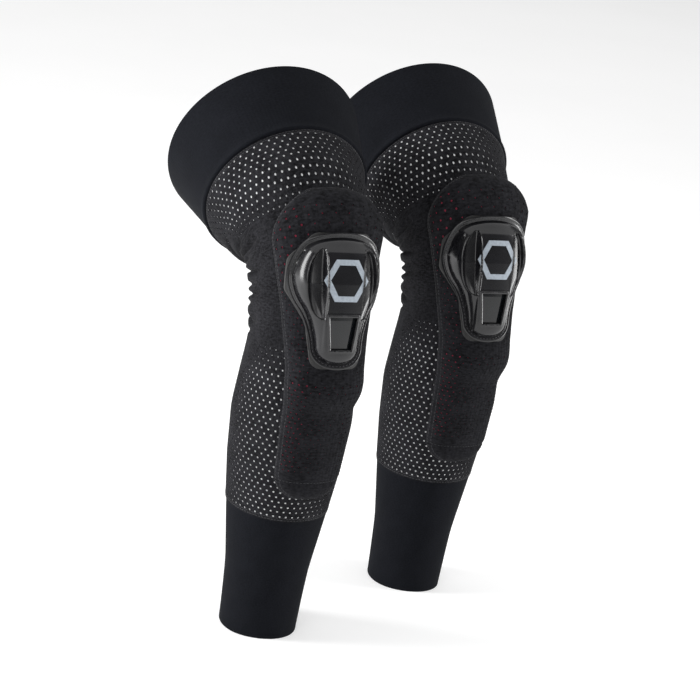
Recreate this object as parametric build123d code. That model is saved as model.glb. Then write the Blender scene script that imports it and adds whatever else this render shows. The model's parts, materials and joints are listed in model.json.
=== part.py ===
"""A pair of soft knee guards: knitted leg sleeves with foam pads and a hard knee cap shell.

Each guard is three bodies in a row: the shin sleeve, the knee pad with its cap shell, and the
thigh sleeve. Two folds, one below and one above the knee pad, let it bend as the leg bends.
Millimetres. +X is forward, +Y is the wearer's left and +Z is up. The pair stands on the
bottom rims of its lower cuffs.
"""
import os
from math import cos, radians, sin

from build123d import *

# ---- how the pair stands -------------------------------------------------------------
GUARD_SPACING = 172.0  # between the two shin axes, along Y
LEFT_GUARD_SET_BACK = 72.0  # the left guard stands this far behind the right one
SHIN_LEAN = 2.0  # degrees forward of upright
LOWER_BEND = 17.0  # degrees in the fold below the knee pad, at rest
UPPER_BEND = 50.0  # degrees in the fold above the knee pad, at rest

# ---- lengths along the leg -----------------------------------------------------------
SHIN_LENGTH = 256.0  # bottom rim to lower fold
KNEE_LENGTH = 72.0  # lower fold to upper fold
THIGH_LENGTH = 120.0  # upper fold to top rim
CALF_SEAM = 111.0  # height of the seam over the lower cuff
THIGH_SEAM = 56.0  # from the upper fold to the seam under the upper cuff
HINGE_SET_BACK = 14.0  # fold axes lie this far behind the middle of the sleeve
BELOW_RIM = 8.0  # the lower cuff is made this far past its rim, then cut flat
PAST_FOLD = 20.0  # sleeve walls are made this far past a fold, then cut to it

# ---- outer radii of the sleeve, each as (distance along its body, radius) ------------
SHIN_RADII = [(-BELOW_RIM, 32.6), (0.0, 33.0), (55.0, 35.6), (CALF_SEAM, 42.0), (150.0, 46.8)]
SHIN_RADII += [(188.0, 49.0), (230.0, 45.5), (SHIN_LENGTH, 43.0), (SHIN_LENGTH + 30.0, 43.0)]
KNEE_RADII = [(-60.0, 43.0), (-KNEE_LENGTH / 2, 43.0), (KNEE_LENGTH / 2, 46.0), (60.0, 46.0)]
THIGH_RADII = [(-60.0, 46.0), (0.0, 47.0), (28.0, 59.5), (THIGH_SEAM, 67.0), (84.0, 73.0)]
THIGH_RADII += [(THIGH_LENGTH, 81.0)]

# ---- thicknesses ---------------------------------------------------------------------
CUFF_WALL = 2.6  # two layers of elastic knit
MESH_WALL = 1.6
LINER_WALL = 0.5
LINER_INSET = 1.0  # the lining stops this far short of the cuff's seam
SEAM_WIDTH = 5.0
SEAM_HEIGHT = 0.9
COVER_WALL = 1.2
CONTACT_GAP = 0.05  # between two pieces of one body that lie on each other
CAP_WALL = 3.0

# ---- silicone grip rings: straight round bores that hold the leg ----------------------
LOWER_GRIP = (4.0, 20.0)  # from and to, along the shin
LOWER_GRIP_BORE = 29.4
UPPER_GRIP = (100.0, 112.0)  # from and to, along the thigh
UPPER_GRIP_BORE = 73.7

# ---- knee pad, in heights from the middle of the knee body -----------------------------
PAD_INNER = [(-80.0, 49.0), (-36.0, 45.5), (10.0, 46.5), (36.0, 50.0), (60.0, 60.5)]
PAD_OUTER = [(-80.0, 56.5), (-36.0, 56.0), (10.0, 58.5), (36.0, 61.0), (60.0, 66.5)]
DOME_OUTER = [(-80.0, 61.0), (-50.0, 66.0), (-24.0, 70.5), (4.0, 74.0), (28.0, 73.5), (60.0, 66.0)]
PAD_LOW = -78.0
PAD_HIGH = 59.0
PAD_CORNER = 14.0  # rounding of the pad's outline
CAP_MIDDLE = -9.5  # the middle of the cap shell's height
CAP_HEIGHT = 105.0
CAP_WIDTH = 80.0
FLANGE_WIDTH = 5.0
FLANGE_WALL = 1.6
FLANGE_CORNER = 9.0
DOME_CORNER = 8.0
HOLLOW_CORNER = 6.0
HOLLOW_MARGIN = 1.0  # the hollow is cut from this far under the shell's inside
STITCH_INSET = 1.8  # from the flange's edge to the line of thread
STITCH_WIDTH = 1.2
STITCH_HEIGHT = 0.5
BACKER_WALL = 1.4
BACKER_INSET = 0.5

# ---- motion ----------------------------------------------------------------------------
# The upper fold turns from 36 degrees further bent to 48 degrees straighter, and the lower
# fold turns a third as far. In front the sleeve is cut square across at each fold. Behind,
# these angles are cut away from the square, so that the faces of a fold never meet.
FRONT_CUT = 2.0
SHIN_BACK_CUT = 16.0
BAND_LOWER_CUT = 16.0
BAND_UPPER_CUT = 51.0
THIGH_BACK_CUT = 38.0

WIDE = 260.0  # larger than any part of a guard


def direction(degrees_from_x):
    """The unit vector in the XZ plane at an angle from +X towards +Z."""
    angle = radians(degrees_from_x)
    return Vector(cos(angle), 0, sin(angle))


def body_plane(origin, lean):
    """A frame along a body: local Z runs up the leg and local X points forward."""
    return Plane(origin=origin, x_dir=direction(-lean), z_dir=direction(90 - lean))


SHIN = body_plane(Vector(0, 0, 0), SHIN_LEAN)
KNEE_LEAN = SHIN_LEAN - LOWER_BEND
LOWER_FOLD = SHIN.origin + SHIN.z_dir * SHIN_LENGTH
KNEE_AXIS = direction(90 - KNEE_LEAN)
KNEE = body_plane(LOWER_FOLD + KNEE_AXIS * (KNEE_LENGTH / 2), KNEE_LEAN)
UPPER_FOLD = LOWER_FOLD + KNEE_AXIS * KNEE_LENGTH
THIGH_LEAN = KNEE_LEAN - UPPER_BEND
THIGH = body_plane(UPPER_FOLD, THIGH_LEAN)
LOWER_HINGE = LOWER_FOLD - KNEE.x_dir * HINGE_SET_BACK
UPPER_HINGE = UPPER_FOLD - KNEE.x_dir * HINGE_SET_BACK


def radius_at(profile, height):
    """The radius of a profile at one height, by straight lines between its points."""
    for (low, low_radius), (high, high_radius) in zip(profile, profile[1:]):
        if low <= height <= high:
            share = (height - low) / (high - low)
            return low_radius + share * (high_radius - low_radius)
    raise ValueError(f"no radius at {height}")


def profile_line(profile, start, end, offset):
    """A profile's points from start to end, each moved outward by offset."""
    heights = [start] + [h for h, _ in profile if start < h < end] + [end]
    return [(radius_at(profile, h) + offset, h) for h in heights]


def shell(profile, start, end, inner, outer, outer_profile=None):
    """A round wall about local Z between two offsets from its profile."""
    inside = profile_line(profile, start, end, inner)
    outside = profile_line(outer_profile or profile, start, end, outer)
    section = Plane.XZ * make_face(Polyline(*inside, *reversed(outside), close=True))
    return revolve(section, Axis.Z, 360)


def sector(corner, start, end):
    """A thick slab through both sides of a guard, between two angles at a fold axis."""
    turn = (end - start) % 360
    steps = max(2, int(turn // 60) + 1)
    rim = [corner + direction(start + turn * i / steps) * WIDE for i in range(steps + 1)]
    outline = [(p.X, p.Z) for p in [corner, *rim]]
    face = Plane.XZ * make_face(Polyline(*outline, close=True))
    return extrude(face, WIDE, both=True)


def keep_below(solid, hinge, lean, back_cut):
    """Cut a body's upper end along the fold above it."""
    return solid - sector(hinge, -lean - FRONT_CUT, 180 - lean + back_cut)


def keep_above(solid, hinge, lean, back_cut):
    """Cut a body's lower end along the fold below it."""
    return solid - sector(hinge, 180 - lean - back_cut, FRONT_CUT - lean)


def fold_panel(hinge, radius, start, end, in_front):
    """The stretch of sleeve that closes one side of a fold at rest, swept about its axis."""
    margin = 0.5
    near = 5.0  # the sweep starts this far from the fold's axis
    plane = Plane(hinge, x_dir=direction(start + margin), z_dir=direction(start + margin + 90))
    middle = HINGE_SET_BACK if in_front else -HINGE_SET_BACK
    ring = Pos(middle, 0) * (Circle(radius) - Circle(radius - MESH_WALL))
    half = Pos(near + WIDE / 2, 0) * Rectangle(WIDE, WIDE)
    return revolve(plane * (ring & half), Axis(hinge, (0, -1, 0)), end - start - 2 * margin)


def standing(solid):
    """Trim flat at the height that the pair stands on."""
    return solid - Pos(0, 0, -WIDE / 2) * Box(WIDE, WIDE, WIDE)


def placed(plane, solid):
    """Move a solid from a body's own frame into the guard's frame."""
    return plane.location * solid


# ---- sleeve pieces ---------------------------------------------------------------------
def lower_cuff():
    return standing(placed(SHIN, shell(SHIN_RADII, -BELOW_RIM, CALF_SEAM, -CUFF_WALL, 0)))


def grip(profile, span, bore):
    """A silicone ring: a straight round bore inside, and the cuff's slope outside."""
    start, end = span
    outside = profile_line(profile, start, end, -CUFF_WALL)
    section = [(bore, start), *outside, (bore, end)]
    return revolve(Plane.XZ * make_face(Polyline(*section, close=True)), Axis.Z, 360)


def lower_grip():
    return placed(SHIN, grip(SHIN_RADII, LOWER_GRIP, LOWER_GRIP_BORE))


def upper_grip():
    return placed(THIGH, grip(THIGH_RADII, UPPER_GRIP, UPPER_GRIP_BORE))


def seam_ring(profile, height):
    """A flat stitched seam that lies on the outside of the sleeve."""
    return shell(profile, height - SEAM_WIDTH / 2, height + SEAM_WIDTH / 2, 0, SEAM_HEIGHT)


def lower_seam():
    return placed(SHIN, seam_ring(SHIN_RADII, CALF_SEAM))


def upper_seam():
    return placed(THIGH, seam_ring(THIGH_RADII, THIGH_SEAM))


def calf_mesh():
    tube = placed(SHIN, shell(SHIN_RADII, CALF_SEAM, SHIN_LENGTH + PAST_FOLD, -MESH_WALL, 0))
    return keep_below(tube, LOWER_HINGE, SHIN_LEAN, SHIN_BACK_CUT)


def liner(profile, start, end):
    outer = -MESH_WALL - CONTACT_GAP
    return shell(profile, start, end, outer - LINER_WALL, outer)


def calf_liner():
    tube = placed(SHIN, liner(SHIN_RADII, CALF_SEAM + LINER_INSET, SHIN_LENGTH + PAST_FOLD))
    return keep_below(tube, LOWER_HINGE, SHIN_LEAN, SHIN_BACK_CUT)


def knee_band():
    reach = KNEE_LENGTH / 2 + PAST_FOLD
    tube = placed(KNEE, shell(KNEE_RADII, -reach, reach, -MESH_WALL, 0))
    tube = keep_above(tube, LOWER_HINGE, KNEE_LEAN, BAND_LOWER_CUT)
    return keep_below(tube, UPPER_HINGE, KNEE_LEAN, BAND_UPPER_CUT)


def thigh_mesh():
    tube = placed(THIGH, shell(THIGH_RADII, -PAST_FOLD, THIGH_SEAM, -MESH_WALL, 0))
    return keep_above(tube, UPPER_HINGE, THIGH_LEAN, THIGH_BACK_CUT)


def thigh_liner():
    tube = placed(THIGH, liner(THIGH_RADII, -PAST_FOLD, THIGH_SEAM - LINER_INSET))
    return keep_above(tube, UPPER_HINGE, THIGH_LEAN, THIGH_BACK_CUT)


def upper_cuff():
    return placed(THIGH, shell(THIGH_RADII, THIGH_SEAM, THIGH_LENGTH, -CUFF_WALL, 0))


def shin_flex_panel():
    start, end = -SHIN_LEAN - FRONT_CUT, FRONT_CUT - KNEE_LEAN
    return fold_panel(LOWER_HINGE, KNEE_RADII[1][1], start, end, in_front=True)


def lower_gather():
    start, end = 180 - KNEE_LEAN - BAND_LOWER_CUT, 180 - SHIN_LEAN + SHIN_BACK_CUT
    return fold_panel(LOWER_HINGE, KNEE_RADII[1][1], start, end, in_front=False)


def thigh_flex_panel():
    start, end = -KNEE_LEAN - FRONT_CUT, FRONT_CUT - THIGH_LEAN
    return fold_panel(UPPER_HINGE, KNEE_RADII[2][1], start, end, in_front=True)


def upper_gather():
    start, end = 180 - THIGH_LEAN - THIGH_BACK_CUT, 180 - KNEE_LEAN + BAND_UPPER_CUT
    return fold_panel(UPPER_HINGE, KNEE_RADII[2][1], start, end, in_front=False)


# ---- pads ------------------------------------------------------------------------------
def outline_block(points, radius):
    """A block through the front of a body whose outline is a rounded polygon of (y, z)."""
    wire = FilletPolyline(*points, radius=radius, close=True)
    face = Plane.YZ * make_face(wire)
    return extrude(face, WIDE)


def mirrored(half):
    """A closed outline from its right-hand half, listed from the top down."""
    return [(y, z) for y, z in half] + [(-y, z) for y, z in reversed(half)]


SHIN_PAD_OUTLINE = mirrored([(33.0, 214.0), (33.5, 176.0), (30.0, 141.0)])
KNEE_PAD_OUTLINE = mirrored([(38.0, 56.0), (46.0, 18.0), (41.0, -30.0), (35.0, -72.0)])
SHIN_PAD_SPAN = (130.0, 230.0)  # covers the outline's height
SHIN_PAD_CORNER = 12.0
SHIN_FOAM_INNER = 0.3
SHIN_FOAM_OUTER = 10.5


def shin_foam():
    wall = shell(SHIN_RADII, *SHIN_PAD_SPAN, SHIN_FOAM_INNER, SHIN_FOAM_OUTER)
    return placed(SHIN, wall & outline_block(SHIN_PAD_OUTLINE, SHIN_PAD_CORNER))


def shin_cover():
    inner = SHIN_FOAM_OUTER + CONTACT_GAP
    wall = shell(SHIN_RADII, *SHIN_PAD_SPAN, inner, inner + COVER_WALL)
    return placed(SHIN, wall & outline_block(SHIN_PAD_OUTLINE, SHIN_PAD_CORNER))


def knee_foam():
    wall = shell(PAD_INNER, PAD_LOW, PAD_HIGH, 0, 0, outer_profile=PAD_OUTER)
    return placed(KNEE, wall & outline_block(KNEE_PAD_OUTLINE, PAD_CORNER))


def knee_cover():
    wall = shell(PAD_OUTER, PAD_LOW, PAD_HIGH, CONTACT_GAP, CONTACT_GAP + COVER_WALL)
    return placed(KNEE, wall & outline_block(KNEE_PAD_OUTLINE, PAD_CORNER))


# ---- cap shell -------------------------------------------------------------------------
BACKER_INNER = 2 * CONTACT_GAP + COVER_WALL
FLANGE_INNER = BACKER_INNER + BACKER_WALL + CONTACT_GAP
FLANGE_OUTER = FLANGE_INNER + FLANGE_WALL


def cap_outline(grow):
    """The cap's outline, a wide round top over a narrower tail, grown all round."""
    half_height = CAP_HEIGHT / 2 + grow
    half_width = CAP_WIDTH / 2 + grow
    top = (0.56 * half_width, half_height)
    shoulder = (0.985 * half_width, 0.62 * half_height)
    side = (half_width, 0.16 * half_height)
    waist = (0.62 * half_width, -0.34 * half_height)
    toe = (0.50 * half_width, -half_height)
    points = mirrored([top, shoulder, side, waist, toe])
    return [(y, z + CAP_MIDDLE) for y, z in points]


WINDOW_TOP = CAP_MIDDLE - 12.0
WINDOW_BOTTOM = CAP_MIDDLE - 37.0
EMBLEM_MIDDLE = CAP_MIDDLE + 16.0
EMBLEM_RADIUS = 18.5
EMBLEM_BAND = 5.0
EMBLEM_HEIGHT = 0.5
WINDOW_CORNER = 2.0
INSERT_OVERLAP = 1.5  # the insert reaches this far past the window's edge
INSERT_WALL = 1.2
INSERT_REACH = 6.0  # of the insert's wall past the window, before it is cut to its outline


def window_outline(grow):
    """The tail's window: a trapezoid, wider at the top."""
    top = (11.5 + grow, WINDOW_TOP + grow)
    bottom = (8.5 + grow, WINDOW_BOTTOM - grow)
    return mirrored([top, bottom])


def knee_cap():
    dome = shell(PAD_OUTER, PAD_LOW, PAD_HIGH, FLANGE_INNER, 0, outer_profile=DOME_OUTER)
    dome = dome & outline_block(cap_outline(-FLANGE_WIDTH), DOME_CORNER)
    hollow = shell(PAD_OUTER, PAD_LOW, PAD_HIGH, -HOLLOW_MARGIN, -CAP_WALL, outer_profile=DOME_OUTER)
    hollow = hollow & outline_block(cap_outline(-FLANGE_WIDTH - CAP_WALL), HOLLOW_CORNER)
    flange = shell(PAD_OUTER, PAD_LOW, PAD_HIGH, FLANGE_INNER, FLANGE_OUTER)
    flange = flange & outline_block(cap_outline(0), FLANGE_CORNER)
    cap = dome + (flange - outline_block(cap_outline(-FLANGE_WIDTH), DOME_CORNER)) - hollow
    cap = cap - outline_block(window_outline(0), WINDOW_CORNER)
    return placed(KNEE, cap)


def cap_insert():
    """The dark plate that closes the window from inside the shell."""
    outer = -CAP_WALL - CONTACT_GAP
    low, high = WINDOW_BOTTOM - INSERT_REACH, WINDOW_TOP + INSERT_REACH
    plate = shell(DOME_OUTER, low, high, outer - INSERT_WALL, outer)
    return placed(KNEE, plate & outline_block(window_outline(INSERT_OVERLAP), WINDOW_CORNER))


def cap_emblem():
    """A plain ring with six straight sides, raised on the dome."""
    low, high = EMBLEM_MIDDLE - 1.5 * EMBLEM_RADIUS, EMBLEM_MIDDLE + 1.5 * EMBLEM_RADIUS
    plate = shell(DOME_OUTER, low, high, 0, EMBLEM_HEIGHT)
    rim = RegularPolygon(EMBLEM_RADIUS, 6) - RegularPolygon(EMBLEM_RADIUS - EMBLEM_BAND, 6)
    block = extrude(Plane.YZ * (Pos(0, EMBLEM_MIDDLE) * rim), WIDE)
    return placed(KNEE, plate & block)


def cap_backer():
    """The stiff sheet that the shell's flange is sewn to."""
    wall = shell(PAD_OUTER, PAD_LOW, PAD_HIGH, BACKER_INNER, BACKER_INNER + BACKER_WALL)
    return placed(KNEE, wall & outline_block(cap_outline(-BACKER_INSET), FLANGE_CORNER))


def cap_stitching():
    """The line of thread that runs round the flange."""
    wall = shell(PAD_OUTER, PAD_LOW, PAD_HIGH, FLANGE_OUTER, FLANGE_OUTER + STITCH_HEIGHT)
    outside = outline_block(cap_outline(-STITCH_INSET), FLANGE_CORNER)
    inside = outline_block(cap_outline(-STITCH_INSET - STITCH_WIDTH), FLANGE_CORNER)
    return placed(KNEE, wall & (outside - inside))


SHIN_PIECES = [lower_cuff, lower_grip, lower_seam, calf_mesh, calf_liner, shin_foam, shin_cover]
SHIN_PIECES += [shin_flex_panel, lower_gather]
KNEE_PIECES = [knee_band, knee_foam, knee_cover, cap_backer, knee_cap, cap_insert, cap_emblem]
KNEE_PIECES += [cap_stitching]
THIGH_PIECES = [thigh_mesh, thigh_liner, thigh_flex_panel, upper_gather, upper_seam, upper_cuff]
THIGH_PIECES += [upper_grip]

# the origin is the middle of the bottom of the pair's box
SETS_OUT = {"right": (0.0, -GUARD_SPACING / 2), "left": (-LEFT_GUARD_SET_BACK, GUARD_SPACING / 2)}


def back_and_front():
    """How far one guard reaches behind and in front of its bottom rim's middle."""
    reach = [piece().bounding_box() for piece in (upper_cuff, knee_cap, cap_emblem)]
    return min(box.min.X for box in reach), max(box.max.X for box in reach)


def main():
    os.makedirs("parts", exist_ok=True)
    back, front = back_and_front()
    middle = (back - LEFT_GUARD_SET_BACK + front) / 2
    print("hinges in one guard", LOWER_HINGE, UPPER_HINGE, "box middle in X", round(middle, 3))
    for piece in SHIN_PIECES + KNEE_PIECES + THIGH_PIECES:
        solid = piece()
        for side, (x, y) in SETS_OUT.items():
            export_step(Pos(x - middle, y, 0) * solid, f"parts/{side}_{piece.__name__}.step")


main()
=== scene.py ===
"""The looks of a pair of knitted knee guards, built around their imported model.

Lengths are in metres. A guard's own frame has its origin in the middle of its bottom rim, with
+X forward and +Z up. Most pieces lie on one bent tube. A place on it is a distance along the
leg and an angle round it, measured from the front towards the wearer's left.
"""
import json
import math

import bmesh
import bpy
import numpy as np
from mathutils import Matrix, Vector


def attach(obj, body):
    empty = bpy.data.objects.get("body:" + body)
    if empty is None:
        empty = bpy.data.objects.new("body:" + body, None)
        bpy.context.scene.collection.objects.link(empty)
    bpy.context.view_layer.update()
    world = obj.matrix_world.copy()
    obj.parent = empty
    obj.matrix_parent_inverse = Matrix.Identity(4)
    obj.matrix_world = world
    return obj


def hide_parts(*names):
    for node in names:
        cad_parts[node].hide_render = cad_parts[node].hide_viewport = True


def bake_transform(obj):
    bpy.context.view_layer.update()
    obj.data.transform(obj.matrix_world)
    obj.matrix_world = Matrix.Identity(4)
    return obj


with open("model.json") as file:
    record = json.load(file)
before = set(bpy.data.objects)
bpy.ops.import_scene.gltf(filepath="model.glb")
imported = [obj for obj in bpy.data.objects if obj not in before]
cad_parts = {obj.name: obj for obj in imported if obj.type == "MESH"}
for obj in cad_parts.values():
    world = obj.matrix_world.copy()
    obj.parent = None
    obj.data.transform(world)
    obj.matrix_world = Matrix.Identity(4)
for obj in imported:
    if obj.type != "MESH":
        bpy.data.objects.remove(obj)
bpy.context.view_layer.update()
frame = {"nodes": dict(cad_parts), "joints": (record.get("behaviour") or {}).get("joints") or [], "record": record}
nodes = frame["nodes"]
joints = {joint["name"]: joint for joint in frame["joints"]}
mounts = {mount["name"]: mount for mount in frame["record"]["mounts"]}

MM = 0.001
SIDES = ("right", "left")

# ---- the guard's skeleton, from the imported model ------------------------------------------
HINGE_SET_BACK = 14 * MM  # the fold axes lie this far behind the middle of the sleeve
THIGH_LENGTH = 120 * MM


def foot(side):
    """The middle of a guard's bottom rim."""
    mount = mounts[f"{side}_calf_opening"]
    axis = Vector(mount["axis"])
    place = Vector(mount["pos_m"])
    return place - axis * (place.z / axis.z)


def forward(axis):
    return Vector((axis.z, 0, -axis.x))


def lean_of(axis):
    return math.atan2(axis.x, axis.z)


FEET = {side: foot(side) for side in SIDES}
SHIN_AXIS = -Vector(mounts["right_calf_opening"]["axis"])
THIGH_AXIS = Vector(mounts["right_thigh_opening"]["axis"])
LOWER_HINGE = Vector(joints["right_lower_fold"]["pos_m"]) - FEET["right"]
UPPER_HINGE = Vector(joints["right_upper_fold"]["pos_m"]) - FEET["right"]
KNEE_AXIS = (UPPER_HINGE - LOWER_HINGE).normalized()
KNEE_FORWARD = forward(KNEE_AXIS)
LOWER_FOLD = LOWER_HINGE + KNEE_FORWARD * HINGE_SET_BACK
UPPER_FOLD = UPPER_HINGE + KNEE_FORWARD * HINGE_SET_BACK
KNEE_MIDDLE = (LOWER_FOLD + UPPER_FOLD) / 2
SHIN_LENGTH = LOWER_FOLD.length
KNEE_LENGTH = (UPPER_FOLD - LOWER_FOLD).length
MID_KNEE = SHIN_LENGTH + KNEE_LENGTH / 2
FOLD_2 = SHIN_LENGTH + KNEE_LENGTH
LEG_LENGTH = FOLD_2 + THIGH_LENGTH
CALF_SEAM = 111 * MM
THIGH_SEAM = FOLD_2 + 56 * MM

# the fold of the cloth at each joint: a plane "start" through the hinge, tilted, and a span along the tilted line.
# They are listed in BLENDS, but nothing here splits or bends the cloth at them
LOWER_TILT = math.radians(16.7)  # forward
UPPER_TILT = math.radians(-40)
LOWER_SPAN = (-75 * MM, 10.5 * MM)  # from the hinge, along the tilted line
UPPER_SPAN = (-17 * MM, 84 * MM)

# ---- the bent tube --------------------------------------------------------------------------
STEP = 1 * MM
LOWER_EASE = 30 * MM  # half the length of the bend at a fold
UPPER_EASE = 34 * MM
RADII_MM = [(0, 33), (55, 35.6), (111, 42), (150, 46.8), (188, 49), (230, 45.5), (256, 43)]
RADII_MM += [(292, 43.6), (328, 46.5), (356, 59), (384, 67), (412, 73), (448, 81), (470, 86)]
RADIUS_BLUR = 11  # steps each way


def spine():
    """The tube's middle line: distance along it, lean, x and z."""
    along = np.arange(-20 * MM, LEG_LENGTH + 20 * MM, STEP)
    knots = [SHIN_LENGTH - LOWER_EASE, SHIN_LENGTH + LOWER_EASE]
    knots += [FOLD_2 - UPPER_EASE, FOLD_2 + UPPER_EASE]
    shin, knee, thigh = lean_of(SHIN_AXIS), lean_of(KNEE_AXIS), lean_of(THIGH_AXIS)
    lean = np.interp(along, knots, [shin, knee, knee, thigh])
    pace = np.ones_like(along)
    for start, end, turn in ((*knots[:2], shin - knee), (*knots[2:], knee - thigh)):
        inside = (along > start) & (along < end)
        pace[inside] = turn / 2 / math.tan(turn / 2)
    zero = np.searchsorted(along, -STEP / 2)
    x = np.cumsum(np.sin(lean) * pace) * STEP
    z = np.cumsum(np.cos(lean) * pace) * STEP
    return along, lean, x - x[zero], z - z[zero]


def blurred_radii(along):
    """The tube's radius, with the corners between its given values smoothed."""
    given = np.array(RADII_MM) * MM
    radius = np.interp(along, given[:, 0], given[:, 1])
    window = np.hanning(2 * RADIUS_BLUR + 3)
    padded = np.pad(radius, RADIUS_BLUR + 1, mode="edge")
    return np.convolve(padded, window / window.sum(), mode="valid")


ALONG, LEAN, SPINE_X, SPINE_Z = spine()
RADIUS = blurred_radii(ALONG)


def radius(along):
    return np.interp(along, ALONG, RADIUS)


def skin(along, angle, lift):
    """Points on the tube, lifted off it, in a guard's own frame."""
    lean = np.interp(along, ALONG, LEAN)
    reach = radius(along) + lift
    out = reach * np.cos(angle)
    x = np.interp(along, ALONG, SPINE_X) + out * np.cos(lean)
    z = np.interp(along, ALONG, SPINE_Z) - out * np.sin(lean)
    return np.stack(np.broadcast_arrays(x, reach * np.sin(angle), z), -1)


def ramp(value, start, end):
    """0 before start and 1 after end, with a smooth rise between them."""
    share = np.clip((value - start) / (end - start), 0, 1)
    return share * share * (3 - 2 * share)


# ---- materials ------------------------------------------------------------------------------
def shader(name, roughness, sheen=0.0, coat=0.0, specular=0.5):
    made = bpy.data.materials.new(name)
    made.use_nodes = True
    surface = made.node_tree.nodes["Principled BSDF"]
    surface.inputs["Roughness"].default_value = roughness
    surface.inputs["Sheen Weight"].default_value = sheen
    surface.inputs["Sheen Roughness"].default_value = 0.5
    surface.inputs["Specular IOR Level"].default_value = specular
    surface.inputs["Coat Weight"].default_value = coat
    surface.inputs["Coat Roughness"].default_value = 0.06
    return made, made.node_tree, surface


def noise(tree, vector, scale, detail=3.0, rough=0.6):
    node = tree.nodes.new("ShaderNodeTexNoise")
    node.inputs["Scale"].default_value = scale
    node.inputs["Detail"].default_value = detail
    node.inputs["Roughness"].default_value = rough
    tree.links.new(vector, node.inputs["Vector"])
    return node.outputs["Fac"]


def stretched(tree, source, scale):
    node = tree.nodes.new("ShaderNodeMapping")
    node.inputs["Scale"].default_value = scale
    tree.links.new(source, node.inputs["Vector"])
    return node.outputs["Vector"]


def colours(tree, factor, stops):
    """A colour ramp: stops are (position, colour)."""
    node = tree.nodes.new("ShaderNodeValToRGB")
    ramp_stops = node.color_ramp.elements
    while len(ramp_stops) < len(stops):
        ramp_stops.new(0.5)
    for stop, (position, colour) in zip(ramp_stops, stops):
        stop.position = position
        stop.color = (*colour, 1)
    tree.links.new(factor, node.inputs["Fac"])
    return node.outputs["Color"]


def maths(tree, operation, first, second):
    node = tree.nodes.new("ShaderNodeMath")
    node.operation = operation
    for socket, value in zip(node.inputs, (first, second)):
        if isinstance(value, (int, float)):
            socket.default_value = value
        else:
            tree.links.new(value, socket)
    return node.outputs[0]


def bump(tree, surface, height, distance, strength=1.0):
    node = tree.nodes.new("ShaderNodeBump")
    node.inputs["Distance"].default_value = distance
    node.inputs["Strength"].default_value = strength
    tree.links.new(height, node.inputs["Height"])
    tree.links.new(node.outputs["Normal"], surface.inputs["Normal"])


def knit(name, dark, light, fleck_mm, rib_mm, sheen, bump_mm):
    """A heathered knit: short flecks along the courses, and fine ribs up the leg."""
    made, tree, surface = shader(name, 0.86, sheen=sheen, specular=0.06)
    source = tree.nodes.new("ShaderNodeUVMap")
    source.uv_map = "cloth"
    flat = source.outputs["UV"]
    flecks = noise(tree, stretched(tree, flat, (1, 2.6, 1)), 100 / fleck_mm / 2.2, 4.0, 0.75)
    clouds = noise(tree, flat, 5.0, 2.0)
    fleck_share = maths(tree, "MULTIPLY", flecks, 0.8)
    cloud_share = maths(tree, "MULTIPLY", clouds, 0.2)
    mixed = maths(tree, "ADD", fleck_share, cloud_share)
    mid = tuple((a + b) / 2 for a, b in zip(dark, light))
    colour = colours(tree, mixed, [(0.38, dark), (0.5, mid), (0.64, light)])
    tree.links.new(colour, surface.inputs["Base Color"])
    ribs = tree.nodes.new("ShaderNodeTexWave")
    ribs.bands_direction = "X"
    ribs.inputs["Scale"].default_value = 100 / rib_mm / 20 * 3.14
    ribs.inputs["Distortion"].default_value = 0.6
    ribs.inputs["Detail"].default_value = 1.0
    tree.links.new(flat, ribs.inputs["Vector"])
    height = maths(tree, "ADD", maths(tree, "MULTIPLY", ribs.outputs["Fac"], 0.35), flecks)
    bump(tree, surface, height, bump_mm * MM)
    return made


def plain(name, dark, light, scale, roughness, coat=0.0, bump_mm=0.05, sheen=0.0):
    """A plain surface with faint clouds in its colour and a fine grain."""
    made, tree, surface = shader(name, roughness, sheen=sheen, coat=coat)
    place = tree.nodes.new("ShaderNodeTexCoord").outputs["Object"]
    clouds = noise(tree, place, scale, 3.0)
    tree.links.new(colours(tree, clouds, [(0.35, dark), (0.65, light)]), surface.inputs["Base Color"])
    bump(tree, surface, noise(tree, place, scale * 12, 2.0), bump_mm * MM)
    return made


def gloss_shell(name):
    """Moulded black plastic: mirror-like, with faint handling marks in its roughness."""
    made, tree, surface = shader(name, 0.16, coat=0.05)
    place = tree.nodes.new("ShaderNodeTexCoord").outputs["Object"]
    clouds = noise(tree, place, 40.0)
    base = colours(tree, clouds, [(0.3, (0.006, 0.006, 0.007)), (0.7, (0.010, 0.010, 0.012))])
    tree.links.new(base, surface.inputs["Base Color"])
    marks = noise(tree, stretched(tree, place, (1, 1, 3)), 150.0, 5.0, 0.7)
    rough = tree.nodes.new("ShaderNodeMapRange")
    rough.inputs["To Min"].default_value = 0.13
    rough.inputs["To Max"].default_value = 0.27
    tree.links.new(marks, rough.inputs["Value"])
    tree.links.new(rough.outputs["Result"], surface.inputs["Roughness"])
    bump(tree, surface, noise(tree, place, 900.0, 1.0), 0.004 * MM)
    return made


KNIT_DARK = (0.0030, 0.0030, 0.0036)
KNIT_LIGHT = (0.024, 0.024, 0.0275)

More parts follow.
